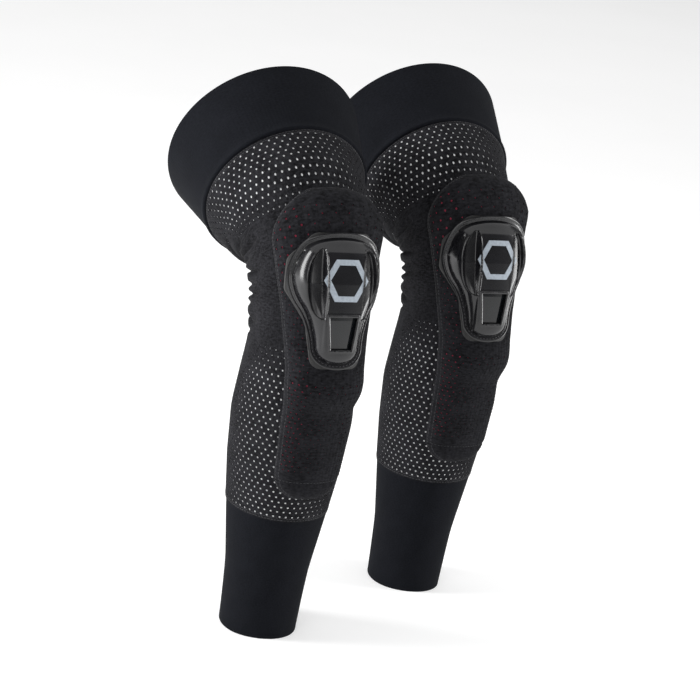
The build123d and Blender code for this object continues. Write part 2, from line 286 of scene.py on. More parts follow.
MATERIALS = {
    "cuff_knit": knit("cuff_knit", (0.0040, 0.0045, 0.0062), (0.0085, 0.0094, 0.0125),
                      1.0, 1.0, 0.006, 0.12),
    "perforated_knit": knit("perforated_knit", KNIT_DARK, KNIT_LIGHT, 1.7, 1.2, 0.012, 0.28),
    "stretch_knit": knit("stretch_knit", KNIT_DARK, KNIT_LIGHT, 1.7, 1.2, 0.012, 0.28),
    "pad_cover": knit("pad_cover", (0.0028, 0.0028, 0.0034), (0.021, 0.021, 0.0245),
                      1.6, 1.3, 0.012, 0.30),
    "pale_lining": plain("pale_lining", (0.80, 0.81, 0.82), (0.93, 0.93, 0.94), 300.0, 0.8, sheen=0.2),
    "red_foam": plain("red_foam", (0.26, 0.014, 0.040), (0.42, 0.030, 0.070), 400.0, 0.85, bump_mm=0.3),
    "thread": plain("thread", (0.016, 0.016, 0.019), (0.045, 0.045, 0.050), 900.0, 0.6, bump_mm=0.05),
    "silicone": plain("silicone", (0.045, 0.045, 0.05), (0.06, 0.06, 0.066), 120.0, 0.4, bump_mm=0.02),
    "cap_shell": gloss_shell("cap_shell"),
    "cap_window": plain("cap_window", (0.004, 0.005, 0.006), (0.008, 0.009, 0.011), 60.0, 0.12,
                        coat=0.5, bump_mm=0.002),
    "emblem_print": plain("emblem_print", (0.30, 0.34, 0.39), (0.38, 0.43, 0.48), 500.0, 0.42,
                          bump_mm=0.01),
    "backer_sheet": plain("backer_sheet", (0.02, 0.02, 0.02), (0.03, 0.03, 0.03), 200.0, 0.7),
}


# ---- making pieces --------------------------------------------------------------------------
BLENDS = {
    "lower": ("shin", "knee", LOWER_HINGE, LOWER_TILT, LOWER_SPAN),
    "upper": ("knee", "thigh", UPPER_HINGE, UPPER_TILT, UPPER_SPAN),
}


def placed(side, mesh_object, slot, follows, replaced=()):
    """Move a finished piece to its guard, give it its slot's material and hide the nodes it stands for. A piece
    that spans a fold is left unparented; any other is tied to its body.
    """
    mesh_object.data.transform(Matrix.Translation(FEET[side]))
    mesh_object.data.materials.clear()
    mesh_object.data.materials.append(MATERIALS[slot])
    if follows in BLENDS:
        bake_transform(mesh_object)
    else:
        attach(mesh_object, f"{side}_{follows}")
    if replaced:
        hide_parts(*[f"{side}_{node}" for node in replaced])
    return mesh_object


def new_object(name, points, faces):
    mesh = bpy.data.meshes.new(name)
    mesh.from_pydata(np.asarray(points, float).reshape(-1, 3).tolist(), [], faces)
    made = bpy.data.objects.new(name, mesh)
    bpy.context.scene.collection.objects.link(made)
    return made


def smooth(mesh_object, sharp_over=50.0):
    mesh_object.data.shade_smooth()
    mesh_object.data.set_sharp_from_angle(angle=math.radians(sharp_over))


def apply_modifiers(mesh_object):
    graph = bpy.context.evaluated_depsgraph_get()
    finished = bpy.data.meshes.new_from_object(mesh_object.evaluated_get(graph))
    finished.name = mesh_object.name
    mesh_object.modifiers.clear()
    mesh_object.data = finished


def thicken(mesh_object, wall):
    """Give a sheet its thickness, inward."""
    modifier = mesh_object.modifiers.new("wall", "SOLIDIFY")
    modifier.thickness = wall
    modifier.offset = -1
    apply_modifiers(mesh_object)


CLOTH_SCALE = 10.0  # cloth coordinates per metre, so that 1 is 100 mm
MEAN_RADIUS = 50 * MM


def lay_cloth(mesh_object, along, angle):
    """Cloth coordinates for a mesh of quads: across is round the leg and up is along it."""
    mesh = mesh_object.data
    corner = np.empty(len(mesh.loops), int)
    mesh.loops.foreach_get("vertex_index", corner)
    around = angle[corner].reshape(-1, 4)
    wraps = np.ptp(around, axis=1) > math.pi
    around[wraps] = np.where(around[wraps] < 0, around[wraps] + 2 * math.pi, around[wraps])
    flat = np.stack([around.ravel() * MEAN_RADIUS, along[corner]], -1) * CLOTH_SCALE
    layer = mesh.uv_layers.new(name="cloth")
    layer.data.foreach_set("uv", flat.ravel().astype(np.float32))


RING = [(-1, -1), (-1, 0), (-1, 1), (0, 1), (1, 1), (1, 0), (1, -1), (0, -1)]


def cloth_piece(name, surface, along, angle, closed, hole=None):
    """A sheet over a grid of places. Where hole gives a size, a round hole goes through it."""
    rows, cols = along.shape
    index = np.arange(rows * cols).reshape(rows, cols)
    holes = {}
    if hole is not None:
        sizes = hole(along, angle)
        for i in range(2, rows - 2, 2):
            for j in range(2 + 2 * (i // 2 % 2), cols - 2, 4):
                if sizes[i, j] > 0:
                    holes[i, j] = sizes[i, j]
    taken = {(i - di, j - dj) for i, j in holes for di in (0, 1) for dj in (0, 1)}
    faces = []
    for i in range(rows - 1):
        for j in range(cols if closed else cols - 1):
            if (i, j) not in taken:
                k = (j + 1) % cols
                faces.append((index[i, j], index[i, k], index[i + 1, k], index[i + 1, j]))
    all_along, all_angle = [along.ravel()], [angle.ravel()]
    turn = np.radians(np.arange(-135, 225, 45))
    count = rows * cols
    for (i, j), size in holes.items():
        all_along.append(along[i, j] + size * np.sin(turn))
        all_angle.append(angle[i, j] + size * np.cos(turn) / radius(along[i, j]))
        rim = [index[i + di, j + dj] for di, dj in RING]
        for k in range(8):
            after = (k + 1) % 8
            faces.append((rim[k], rim[after], count + after, count + k))
        count += 8
    all_along = np.concatenate(all_along)
    all_angle = np.concatenate(all_angle)
    made = new_object(name, surface(all_along, all_angle), faces)
    lay_cloth(made, all_along, all_angle)
    return made


def rows_and_columns(start, end, row, cols):
    """A grid of places all round the tube."""
    count = max(3, round((end - start) / row) + 1)
    along = np.linspace(start, end, count)
    angle = np.linspace(-math.pi, math.pi, cols, endpoint=False)
    return np.meshgrid(along, angle, indexing="ij")


def ring_piece(name, section, cols, ripple=None):
    """A closed ring round the tube. Its section is a list of (along, lift)."""
    section = np.array(section)
    along = np.repeat(section[:, :1], cols, axis=1)
    lift = np.repeat(section[:, 1:], cols, axis=1)
    angle = np.tile(np.linspace(-math.pi, math.pi, cols, endpoint=False), (len(section), 1))
    if ripple is not None:
        lift = lift + ripple(along, angle)
    rows = len(section)
    index = np.arange(rows * cols).reshape(rows, cols)
    faces = []
    for i in range(rows):
        for j in range(cols):
            k, after = (j + 1) % cols, (i + 1) % rows
            faces.append((index[i, j], index[i, k], index[after, k], index[after, j]))
    points = skin(along, angle, lift)
    points[..., 2] = np.maximum(points[..., 2], 0)
    made = new_object(name, points, faces)
    # the cloth runs on over the rim, so its length is counted along the section
    step = np.linalg.norm(np.diff(section, axis=0, prepend=section[:1]), axis=1)
    run = np.repeat(np.cumsum(step)[:, None], cols, axis=1)
    lay_cloth(made, run.ravel(), angle.ravel())
    smooth(made, 70)
    return made


# ---- stitches -------------------------------------------------------------------------------
STITCH_SIDES = 6
STITCH_RINGS = 4


def stitch_shape():
    """A small rounded rod, from -1 to 1 along x."""
    points = [(-1.0, 0.0, 0.0)]
    for ring in range(1, STITCH_RINGS):
        tilt = math.pi * ring / STITCH_RINGS
        for side in range(STITCH_SIDES):
            turn = 2 * math.pi * side / STITCH_SIDES
            size = math.sin(tilt) ** 0.6
            points.append((-math.cos(tilt), size * math.cos(turn), size * math.sin(turn)))
    points.append((1.0, 0.0, 0.0))
    last = len(points) - 1
    faces = []
    for side in range(STITCH_SIDES):
        after = (side + 1) % STITCH_SIDES
        faces.append((0, 1 + after, 1 + side))
        for ring in range(STITCH_RINGS - 2):
            low = 1 + ring * STITCH_SIDES
            high = low + STITCH_SIDES
            faces.append((low + side, low + after, high + after, high + side))
        top = last - STITCH_SIDES
        faces.append((top + side, top + after, last))
    return np.array(points), faces


def stitches(name, lines, pitch, length, width):
    """Stitches along lines. Each line is (points, normals), both as arrays of rows."""
    shape, shape_faces = stitch_shape()
    points, faces = [], []
    for line, normals in lines:
        gaps = np.linalg.norm(np.diff(line, axis=0), axis=1)
        run = np.concatenate([[0], np.cumsum(gaps)])
        count = max(1, int(run[-1] / pitch))
        middles = (np.arange(count) + 0.5) * run[-1] / count
        at = [np.stack([np.interp(m, run, line[:, c]) for c in range(3)], -1)
              for m in (middles - length / 2, middles, middles + length / 2)]
        out = np.stack([np.interp(middles, run, normals[:, c]) for c in range(3)], -1)
        for back, here, front, normal in zip(*at, out):
            x = front - back
            x /= np.linalg.norm(x)
            y = np.cross(normal, x)
            y /= np.linalg.norm(y)
            z = np.cross(x, y)
            base = len(points) * len(shape)
            points.append(here + shape @ np.array([x * length / 2, y * width / 2, z * width / 2.6]))
            faces += [tuple(base + v for v in face) for face in shape_faces]
    made = new_object(name, np.concatenate(points), faces)
    smooth(made, 180)
    return made


def surface_line(surface, along, angle):
    """A line on a surface, with its outward directions."""
    small = 0.5 * MM
    here = surface(along, angle)
    up = surface(along + small, angle) - here
    aside = surface(along, angle + small / radius(along)) - here
    out = np.cross(aside, up)
    return here, out / np.linalg.norm(out, axis=1, keepdims=True)


# ---- sleeve: knit tubes with real holes -------------------------------------------------------
KNIT_WALL = 0.45 * MM
LINING_DEPTH = 0.62 * MM
LINING_WALL = 0.3 * MM
HOLE = 0.86 * MM  # radius
ROW = 2.15 * MM
FINE_ROW = 1.0 * MM
CALF_COLUMNS = 208
THIGH_COLUMNS = 256
CALF_HOLES_END = 254 * MM
THIGH_HOLES_START = 334 * MM
CALF_LINING_TOP = 253 * MM
THIGH_LINING_BOTTOM = 330 * MM

# creases behind the knee: distance along the leg, depth and how far forward each one reaches
CREASES = [(255, 2.0, 104), (265, 2.8, 92), (275, 2.6, 106), (285, 3.8, 84), (295, 3.2, 96)]
CREASES += [(305, 4.0, 80), (315, 3.2, 98), (326, 3.6, 84), (338, 2.8, 98), (350, 1.8, 112)]
CREASE_WIDTH = 2.2 * MM
PUFF = 2.2 * MM


def gathers(along, angle):
    """How far the cloth behind the knee stands in or out."""
    behind = np.abs(angle)
    zone = ramp(along, 244 * MM, 272 * MM) * (1 - ramp(along, 332 * MM, 362 * MM))
    lift = PUFF * zone * ramp(behind, math.radians(85), math.radians(120))
    for number, (place, depth, front) in enumerate(CREASES):
        wander = 2.2 * np.sin(2.3 * behind + 1.7 * number) + 1.1 * np.sin(6.1 * angle + 2.9 * number)
        distance = (along - (place + wander) * MM) / CREASE_WIDTH
        reach = ramp(behind, math.radians(front - 14), math.radians(front + 16))
        lift = lift - depth * MM * reach * np.exp(-distance * distance)
    return lift


def drape(along, angle):
    """The faint unevenness of a soft tube that holds its own shape."""
    wave = np.sin(3 * angle + 18 * along) + 0.7 * np.sin(5 * angle - 31 * along + 1.3)
    return 0.22 * MM * (wave + 0.6 * np.sin(2 * angle + 55 * along + 0.4))


def sleeve(along, angle, depth=0.0):
    return skin(along, angle, gathers(along, angle) + drape(along, angle) - depth)


def calf_hole(along, angle):
    """Hole sizes on the calf: smaller and then none towards the knee and behind it."""
    side = np.abs(angle)
    top = (250 - 34 * ramp(side, math.radians(70), math.radians(125))) * MM
    size = HOLE * (1 - 0.45 * ramp(along, top - 26 * MM, top))
    return np.where((along > CALF_SEAM + 3 * MM) & (along < top), size, 0)


def thigh_hole(along, angle):
    side = np.abs(angle)
    bottom = (338 + 22 * ramp(side, math.radians(95), math.radians(150))) * MM
    size = HOLE * (0.6 + 0.4 * ramp(along, bottom, bottom + 14 * MM))
    return np.where((along > bottom) & (along < THIGH_SEAM - 2.5 * MM), size, 0)


def stacked(*grids):
    """Join grids of places end to end along the leg."""
    last = len(grids) - 1
    ends = [None if number == last else -1 for number in range(len(grids))]
    along = np.concatenate([grid[0][:end] for grid, end in zip(grids, ends)])
    angle = np.concatenate([grid[1][:end] for grid, end in zip(grids, ends)])
    return along, angle


def calf_sleeve(side):
    holed = rows_and_columns(CALF_SEAM - 1 * MM, CALF_HOLES_END, ROW, CALF_COLUMNS)
    fine = rows_and_columns(CALF_HOLES_END, MID_KNEE, FINE_ROW, CALF_COLUMNS)
    along, angle = stacked(holed, fine)
    made = cloth_piece(f"{side}_calf_sleeve", sleeve, along, angle, True, calf_hole)
    thicken(made, KNIT_WALL)
    smooth(made)
    placed(side, made, "perforated_knit", "lower", ["calf_mesh", "shin_flex_panel", "lower_gather"])


def thigh_sleeve(side):
    fine = rows_and_columns(MID_KNEE, THIGH_HOLES_START, FINE_ROW, THIGH_COLUMNS)
    holed = rows_and_columns(THIGH_HOLES_START, THIGH_SEAM + 1 * MM, ROW, THIGH_COLUMNS)
    along, angle = stacked(fine, holed)
    made = cloth_piece(f"{side}_thigh_sleeve", sleeve, along, angle, True, thigh_hole)
    thicken(made, KNIT_WALL)
    smooth(made)
    placed(side, made, "stretch_knit", "upper",
           ["thigh_mesh", "knee_band", "thigh_flex_panel", "upper_gather"])


def inner_sleeve(along, angle):
    return sleeve(along, angle, LINING_DEPTH)


def linings(side):
    """The pale cloth that shows through the holes."""
    spans = [("calf_lining", CALF_SEAM, CALF_LINING_TOP, "lower", "calf_liner", (0.285, 0.142)),
             ("thigh_lining", THIGH_LINING_BOTTOM, THIGH_SEAM, "upper", "thigh_liner", (0.37, 0.054))]
    for name, start, end, follows, node, flat in spans:
        along, angle = rows_and_columns(start, end, 3 * MM, 128)
        made = cloth_piece(f"{side}_{name}", inner_sleeve, along, angle, True)
        thicken(made, LINING_WALL)
        smooth(made)
        placed(side, made, "pale_lining", follows, [node])


# ---- cuffs, grips and seams --------------------------------------------------------------------
CUFF_COLUMNS = 180
CUFF_WALL = 2.4 * MM
LOWER_CUFF_LIFT = -0.9 * MM  # how far the cuff's outside stands over the tube
UPPER_CUFF_LIFT = 0.5 * MM
GRIP_BEADS = 3
BEAD_WAVES = 30  # round the leg
BEAD_SIDES = 6
BEAD_COLUMNS = 240


def bend_points(centre_along, centre_lift, size, start, end, count=7):
    """Section points on an arc, with angles from the outward direction towards the knee."""
    turns = np.radians(np.linspace(start, end, count))
    return [(centre_along + size * math.sin(t), centre_lift + size * math.cos(t)) for t in turns]


def line_points(start, end, lift, step=3 * MM):
    count = max(2, round(abs(end - start) / step) + 1)
    return [(along, lift) for along in np.linspace(start, end, count)]


def cuff_ripple(along, angle):
    wave = np.sin(2 * angle + 40 * along + 0.7) + 0.6 * np.sin(4 * angle - 25 * along)
    return 0.35 * MM * wave


def lower_cuff(side):
    """Two layers of elastic knit, folded at the rim and set in a little at the seam."""
    fold = CUFF_WALL / 2
    outer = LOWER_CUFF_LIFT
    section = line_points(CALF_SEAM + 1 * MM, CALF_SEAM - 4 * MM, outer)
    section += line_points(CALF_SEAM - 7 * MM, fold + 1 * MM, outer)
    section += bend_points(fold, outer - fold, fold, 0, -180)
    section += line_points(fold + 1 * MM, CALF_SEAM - 1 * MM, outer - CUFF_WALL)
    made = ring_piece(f"{side}_lower_cuff_cloth", section[::-1], CUFF_COLUMNS, cuff_ripple)
    placed(side, made, "cuff_knit", "shin", ["lower_cuff"])


def upper_cuff(side):
    """Two layers, folded at the rim, with a soft roll along the seam."""
    fold = CUFF_WALL / 2
    rim = LEG_LENGTH - fold
    roll = 1.7 * MM
    outer = UPPER_CUFF_LIFT
    section = bend_points(THIGH_SEAM + roll, 0.3 * MM, roll, -100, 20, 9)
    section += line_points(THIGH_SEAM + 6 * MM, rim - 1 * MM, outer)
    section += bend_points(rim, outer - fold, fold, 0, 180)
    section += line_points(rim - 1 * MM, THIGH_SEAM + 2 * MM, outer - CUFF_WALL)
    made = ring_piece(f"{side}_upper_cuff_cloth", section, CUFF_COLUMNS, cuff_ripple)
    placed(side, made, "cuff_knit", "upper", ["upper_cuff"])


def grips(side):
    """Silicone printed inside each cuff: wavy beads that hold the leg."""
    spans = [("lower_grip_beads", 4 * MM, 20 * MM, "shin", "lower_grip", LOWER_CUFF_LIFT),
             ("upper_grip_beads", LEG_LENGTH - 20 * MM, LEG_LENGTH - 8 * MM, "upper", "upper_grip",
              UPPER_CUFF_LIFT)]
    for name, start, end, follows, node, outer in spans:
        points, faces = [], []
        across, cols = BEAD_SIDES, BEAD_COLUMNS
        for bead in range(GRIP_BEADS):
            middle = start + (end - start) * (bead + 0.5) / GRIP_BEADS
            angle = np.linspace(-math.pi, math.pi, cols, endpoint=False)
            along = middle + 1.3 * MM * np.sin(BEAD_WAVES * angle + bead * math.pi)
            base = len(points) * across * cols
            rings = []
            for k in range(across):
                turn = 2 * math.pi * k / across
                lift = outer - CUFF_WALL - 0.1 * MM + 0.5 * MM * math.cos(turn)
                lift = lift + cuff_ripple(along, angle)
                rings.append(skin(along + 0.8 * MM * math.sin(turn), angle, lift))
            points.append(np.stack(rings))
            for k in range(across):
                for j in range(cols):
                    a, b = base + k * cols, base + (k + 1) % across * cols
                    m = (j + 1) % cols
                    faces.append((a + j, a + m, b + m, b + j))
        made = new_object(f"{side}_{name}", np.concatenate([p.reshape(-1, 3) for p in points]), faces)
        smooth(made, 180)
        placed(side, made, "silicone", follows, [node])


def around(along, lift):
    """A line all round the tube."""
    angle = np.linspace(-math.pi, math.pi, 361)

    def surface(places, angles):
        return sleeve(places, angles, -lift)

    return surface_line(surface, np.full_like(angle, along), angle)


def seams(side):
    """Flat seams where the cuffs meet the sleeve."""
    lower = [around(CALF_SEAM + 2.2 * MM, 0.05 * MM), around(CALF_SEAM + 0.4 * MM, 0.05 * MM)]
    made = stitches(f"{side}_lower_seam_thread", lower, 2.6 * MM, 2.2 * MM, 0.5 * MM)
    placed(side, made, "thread", "shin", ["lower_seam"])
    upper = [around(THIGH_SEAM - 0.9 * MM, 0.1 * MM), around(THIGH_SEAM - 2.4 * MM, 0.05 * MM)]
    made = stitches(f"{side}_upper_seam_thread", upper, 2.6 * MM, 2.2 * MM, 0.6 * MM)
    placed(side, made, "thread", "upper", ["upper_seam"])


# ---- pads ------------------------------------------------------------------------------------
PAD_BOTTOM = 133 * MM
PAD_TOP = 341 * MM
# half the pad's width in degrees at distances along the leg
PAD_HALF = [(133, 33), (176, 34), (214, 35.5), (240, 39), (265, 46), (300, 53), (318, 54), (341, 50)]
PAD_BOTTOM_ROUND = 26 * MM
PAD_TOP_ROUND = 26 * MM
SHIN_PAD = 11.4 * MM
PAD_EDGE = 13 * MM  # the width over which a pad rises to its full height
PAD_BROW = 21 * MM  # the same at its top edge
COVER_EDGE = 0.7 * MM
COVER_WALL = 0.7 * MM
BAND_LINE = 151 * MM
# the knee pad's face: height from the middle of the knee, and distance from the knee's axis
KNEE_COVER_MM = [(-90, 57.6), (-36, 57.0), (10, 59.5), (36, 62.0), (48, 64.2), (62, 62.5), (90, 58)]
KNEE_COVER = np.array(KNEE_COVER_MM) * MM
COVER_COLUMNS = 65
END_SPAN = 14 * MM
END_ROWS = 16
FOAM_DEPTH = 0.9 * MM  # the foam's face lies this far behind the cover's outer face


def pad_half_angle(along):
    """Half the pad's width as an angle: rounded at its bottom and its top."""
    given = np.array(PAD_HALF, float)
    half = np.radians(np.interp(along, given[:, 0] * MM, given[:, 1]))
    low = np.clip((PAD_BOTTOM + PAD_BOTTOM_ROUND - along) / PAD_BOTTOM_ROUND, 0, 1)
    high = np.clip((along - PAD_TOP + PAD_TOP_ROUND) / PAD_TOP_ROUND, 0, 1)
    return half * (1 - low**2.6) ** (1 / 2.6) * (1 - high**2.2) ** (1 / 2.2)


def knee_reach(along, angle):
    """Where the knee pad's straight front lies, measured from the bent tube's skin."""
    lift = np.full(np.broadcast(along, angle).shape, 14 * MM)
    axis, middle = np.array(KNEE_AXIS), np.array(KNEE_MIDDLE)
    for _ in range(8):
        offset = skin(along, angle, lift) - middle
        height = offset @ axis
        distance = np.linalg.norm(offset - height[..., None] * axis, axis=-1)
        lift = lift + np.interp(height, KNEE_COVER[:, 0], KNEE_COVER[:, 1]) - distance
    return lift


def pad_lift(along, angle):
    """The height of the pad cover over the tube."""
    on_shin = 1 - ramp(along, 204 * MM, 236 * MM)
    full = on_shin * SHIN_PAD + (1 - on_shin) * knee_reach(along, angle)
    half = pad_half_angle(along)
    slope = (pad_half_angle(along + STEP) - pad_half_angle(along - STEP)) / (2 * STEP) * radius(along)
    inside = (half - np.abs(angle)) * radius(along) / np.sqrt(1 + slope * slope)
    share = np.minimum(inside / PAD_EDGE, (along - PAD_BOTTOM) * 1.2 / PAD_EDGE)
    share = np.clip(np.minimum(share, (PAD_TOP - along) / PAD_BROW), 0, 1)
    rise = np.sqrt(1 - (1 - share) ** 2)
    line = np.exp(-(((along - BAND_LINE) / (1.3 * MM)) ** 2)) * 0.9 * MM
    return COVER_EDGE + (full - COVER_EDGE) * rise - line * rise


def cover(along, angle, depth=0.0):
    return skin(along, angle, pad_lift(along, angle) + drape(along, angle) - depth)


def pad_grid(start, end, row, cols, shrink=0.0):
    """A grid of places that fills the pad's outline, with its rows crowded at the rounded ends."""
    share = np.linspace(0, 1, max(3, round((end - start) / row) + 1))
    along = start + (end - start) * share
    crowded = END_SPAN * (1 - np.cos(np.pi * np.linspace(0, 0.5, END_ROWS)))
    if start <= PAD_BOTTOM + 8 * MM:
        near = start + crowded
        along = np.concatenate([near, along[along > near[-1] + row / 2]])
    if end >= PAD_TOP - 8 * MM:
        near = end - crowded
        along = np.concatenate([along[along < near[-1] - row / 2], near[::-1]])
    half = np.maximum(pad_half_angle(along) - shrink, 0.002)
    span = np.sin(np.linspace(-0.5, 0.5, cols) * math.pi * 0.86) / math.sin(0.43 * math.pi)
    return np.repeat(along[:, None], cols, axis=1), half[:, None] * span[None, :]


def cover_hole(along, angle):
    """Fine holes all over the cover, larger beside the cap and along the shin's edges."""
    half = pad_half_angle(along)
    room = (half - np.abs(angle)) * radius(along)
    beside_cap = (along > 286 * MM) & (along < 334 * MM) & (np.abs(angle) > math.radians(24))
    beside_shin = (along > 160 * MM) & (along < 236 * MM) & (np.abs(angle) > math.radians(17))
    size = np.where(beside_cap | beside_shin, 0.58 * MM, 0.38 * MM)
    inside = (room > 5 * MM) & (along > PAD_BOTTOM + 24 * MM) & (along < PAD_TOP - 11 * MM)
    covered = (np.abs(angle) < math.radians(17)) & (along > 236 * MM) & (along < 318 * MM)
    return np.where(inside & ~covered, size, 0)


def pad_covers(side):
    # the upper cover's flat width was not measured; 0.112 by 0.082 is nearer its real size
    spans = [("lower_pad_cover", PAD_BOTTOM, MID_KNEE, "lower", "shin_cover", (0.084, 0.168)),
             ("upper_pad_cover", MID_KNEE, PAD_TOP, "upper", "knee_cover", (0.150, 0.085))]
    for name, start, end, follows, node, flat in spans:
        along, angle = pad_grid(start, end, 2.0 * MM, COVER_COLUMNS)
        made = cloth_piece(f"{side}_{name}", cover, along, angle, False, cover_hole)
        thicken(made, COVER_WALL)
        smooth(made)
        placed(side, made, "pad_cover", follows, [node])


def foam_block(name, start, end):
    """A closed pad between the sleeve and its cover."""
    along, angle = pad_grid(start, end, 2.5 * MM, 41, shrink=math.radians(3))
    top = cover(along, angle, FOAM_DEPTH)
    base = sleeve(along, angle, -0.3 * MM)
    flat_out = np.linalg.norm(top - base, axis=-1) < 0.4 * MM
    top[flat_out] = skin(along, angle, 0.8 * MM)[flat_out]
    rows, cols = along.shape
    index = np.arange(rows * cols).reshape(rows, cols)
    under = index + rows * cols
    faces = []
    for i in range(rows - 1):
        for j in range(cols - 1):
            faces.append((index[i, j], index[i, j + 1], index[i + 1, j + 1], index[i + 1, j]))
            faces.append((under[i, j], under[i + 1, j], under[i + 1, j + 1], under[i, j + 1]))
    edge = [*index[0, :-1], *index[:-1, -1], *index[-1, :0:-1], *index[:0:-1, 0]]
    for k, here in enumerate(edge):
        after = edge[(k + 1) % len(edge)]
        faces.append((here, here + rows * cols, after + rows * cols, after))
    made = new_object(name, np.concatenate([top.reshape(-1, 3), base.reshape(-1, 3)]), faces)
    smooth(made)
    return made


def foams(side):
    spans = [("shin_pad_foam", PAD_BOTTOM + 6 * MM, 218 * MM, "lower", ["shin_foam"]),
             ("knee_pad_foam_below", 220 * MM, MID_KNEE, "lower", ["knee_foam"]),
             ("knee_pad_foam_above", MID_KNEE, PAD_TOP - 5 * MM, "upper", ["knee_foam"])]
    for name, start, end, follows, replaced in spans:
        made = foam_block(f"{side}_{name}", start, end)
        placed(side, made, "red_foam", follows, replaced)


def pad_seams(side):
    """Two rows of stitches that hold the cover's edge to the sleeve, and the band's row."""
    for name, start, end, follows in (("lower_pad_stitches", PAD_BOTTOM, MID_KNEE, "lower"),
                                      ("upper_pad_stitches", MID_KNEE, PAD_TOP, "upper")):
        lines = []
        for inset in (1.6 * MM, 4.2 * MM):
            low = max(start, PAD_BOTTOM + inset)
            high = min(end, PAD_TOP - inset)
            share = 0.5 * (1 - np.cos(np.pi * np.linspace(0, 1, 160)))
            along = low + (high - low) * share
            half = pad_half_angle(along)
            slope = np.gradient(half, along) * radius(along)
            inset_angle = inset * np.sqrt(1 + np.minimum(slope * slope, 16)) / radius(along)
            half = np.maximum(half - inset_angle, 0)
            for sign in (-1, 1):
                lines.append(surface_line(cover, along, sign * half))
        if start == PAD_BOTTOM:
            across = np.linspace(-1, 1, 60) * (pad_half_angle(BAND_LINE) - math.radians(5))
            lines.append(surface_line(cover, np.full_like(across, BAND_LINE), across))
        made = stitches(f"{side}_{name}", lines, 2.8 * MM, 2.1 * MM, 0.5 * MM)
        placed(side, made, "thread", follows)


# ---- the cap shell -----------------------------------------------------------------------------
CAP_MIDDLE = -9.5 * MM
CAP_HALF_HEIGHT = 52.5 * MM
CAP_HALF_WIDTH = 40 * MM
FLANGE_WIDTH = 5 * MM
PAD_OUTER = np.array([(-80, 56.5), (-36, 56), (10, 58.5), (36, 61), (60, 66.5)]) * MM
DOME_OUTER = np.array([(-80, 61), (-50, 66), (-24, 70.5), (4, 74), (28, 73.5), (60, 66)]) * MM
FLANGE_LIFT = 4.4 * MM
CAP_WALL = 2.2 * MM
SHOULDER = 7.5 * MM  # the width of the dome's rounded side
SCOOP_MIDDLE = 13 * MM  # height on the cap
SCOOP_HALF = 27 * MM
SCOOP_WIDTH = 13.5 * MM
SCOOP_DEPTH = 5.2 * MM
BLADE_HEIGHT = 1.7 * MM
BLADE_HALF_WIDTH = 1.7 * MM
OUTLINE_POINTS = 340
CAP_RINGS = 84
WINDOW = [(11.5, -12.0), (8.5, -37.0)]  # half-width and height of the top and the bottom


def cap_outline():
    """The cap's outline as (y, height), a wide round top over a narrower tail."""
    w, h = CAP_HALF_WIDTH, CAP_HALF_HEIGHT
    half = [(0.60 * w, h), (0.97 * w, 0.66 * h), (1.02 * w, 0.14 * h), (0.60 * w, -0.34 * h)]
    half += [(0.53 * w, -h)]
    points = np.array(half + [(-y, z) for y, z in reversed(half)])
    for share in (0.27, 0.25, 0.25, 0.25):
        after = np.roll(points, -1, axis=0)
        pair = np.stack([points * (1 - share) + after * share, points * share + after * (1 - share)], 1)
        points = pair.reshape(-1, 2)
    closed = np.vstack([points, points[:1]])
    run = np.concatenate([[0], np.cumsum(np.linalg.norm(np.diff(closed, axis=0), axis=1))])
    even = np.linspace(0, run[-1], OUTLINE_POINTS, endpoint=False)
    return np.stack([np.interp(even, run, closed[:, c]) for c in (0, 1)], -1)


OUTLINE = cap_outline()


def distance_inside(y, height):
    """How far a place on the cap is from the outline."""
    start = OUTLINE
    step = np.roll(OUTLINE, -1, axis=0) - start
    place = np.stack([y, height], -1).reshape(-1, 1, 2)
    share = np.clip(((place - start) * step).sum(-1) / (step * step).sum(-1), 0, 1)
    nearest = start + share[..., None] * step
    return np.linalg.norm(place - nearest, axis=-1).min(1).reshape(np.shape(y))


def window_distance(y, height):
    """Distance outside the window's straight sides: negative inside it."""
    (top_half, top), (bottom_half, bottom) = [(a * MM, b * MM) for a, b in WINDOW]
    slope = (top_half - bottom_half) / (top - bottom)
    side = (np.abs(y) - (bottom_half + slope * (height - bottom))) / math.hypot(1, slope)
    return np.maximum(np.maximum(side, height - top), bottom - height)


def cap_relief(y, height):
    """What stands out of the dome or is sunk in it."""
    side = np.abs(y)
    # the centre plate's edge runs in towards the tail
    edge = np.interp(height, np.array([-60, -12, 40]) * MM, np.array([13.0, 15.0, 17.0]) * MM)
    share = np.clip((height - SCOOP_MIDDLE) / SCOOP_HALF, -1, 1)
    crescent = SCOOP_WIDTH * np.sqrt(1 - share * share)
    across = (side - edge) / np.maximum(crescent, 0.1 * MM)
    scoop = ramp(across, -0.05, 0.12) * (1 - ramp(across, 0.72, 1.08))
    relief = -SCOOP_DEPTH * scoop * (crescent / SCOOP_WIDTH) ** 0.7
    # a raised blade stands along the plate's edge
    blade = np.clip(1 - ((height - SCOOP_MIDDLE) / SCOOP_HALF) ** 2, 0, 1)
    half = BLADE_HALF_WIDTH * blade + 0.01 * MM
    ridge = np.clip(1 - np.abs(side - edge + 0.8 * MM) / half, 0, 1)
    relief += BLADE_HEIGHT * blade * ridge
    # a shallow step runs down each side of the tail
    tail = 1 - ramp(height, -18 * MM, -9 * MM)
    relief -= 1.1 * MM * tail * ramp(side, edge - 0.5 * MM, edge + 1.2 * MM)
    # a dished brow under the top edge
    dip = np.exp(-(((height - 42 * MM) / (5 * MM)) ** 2))
    relief -= 1.6 * MM * dip * (1 - ramp(side, 20 * MM, 30 * MM))
    # a raised lip round the window
    lip = window_distance(y, height)
    relief += 0.8 * MM * np.exp(-(((lip - 1.1 * MM) / (0.8 * MM)) ** 2))
    return relief


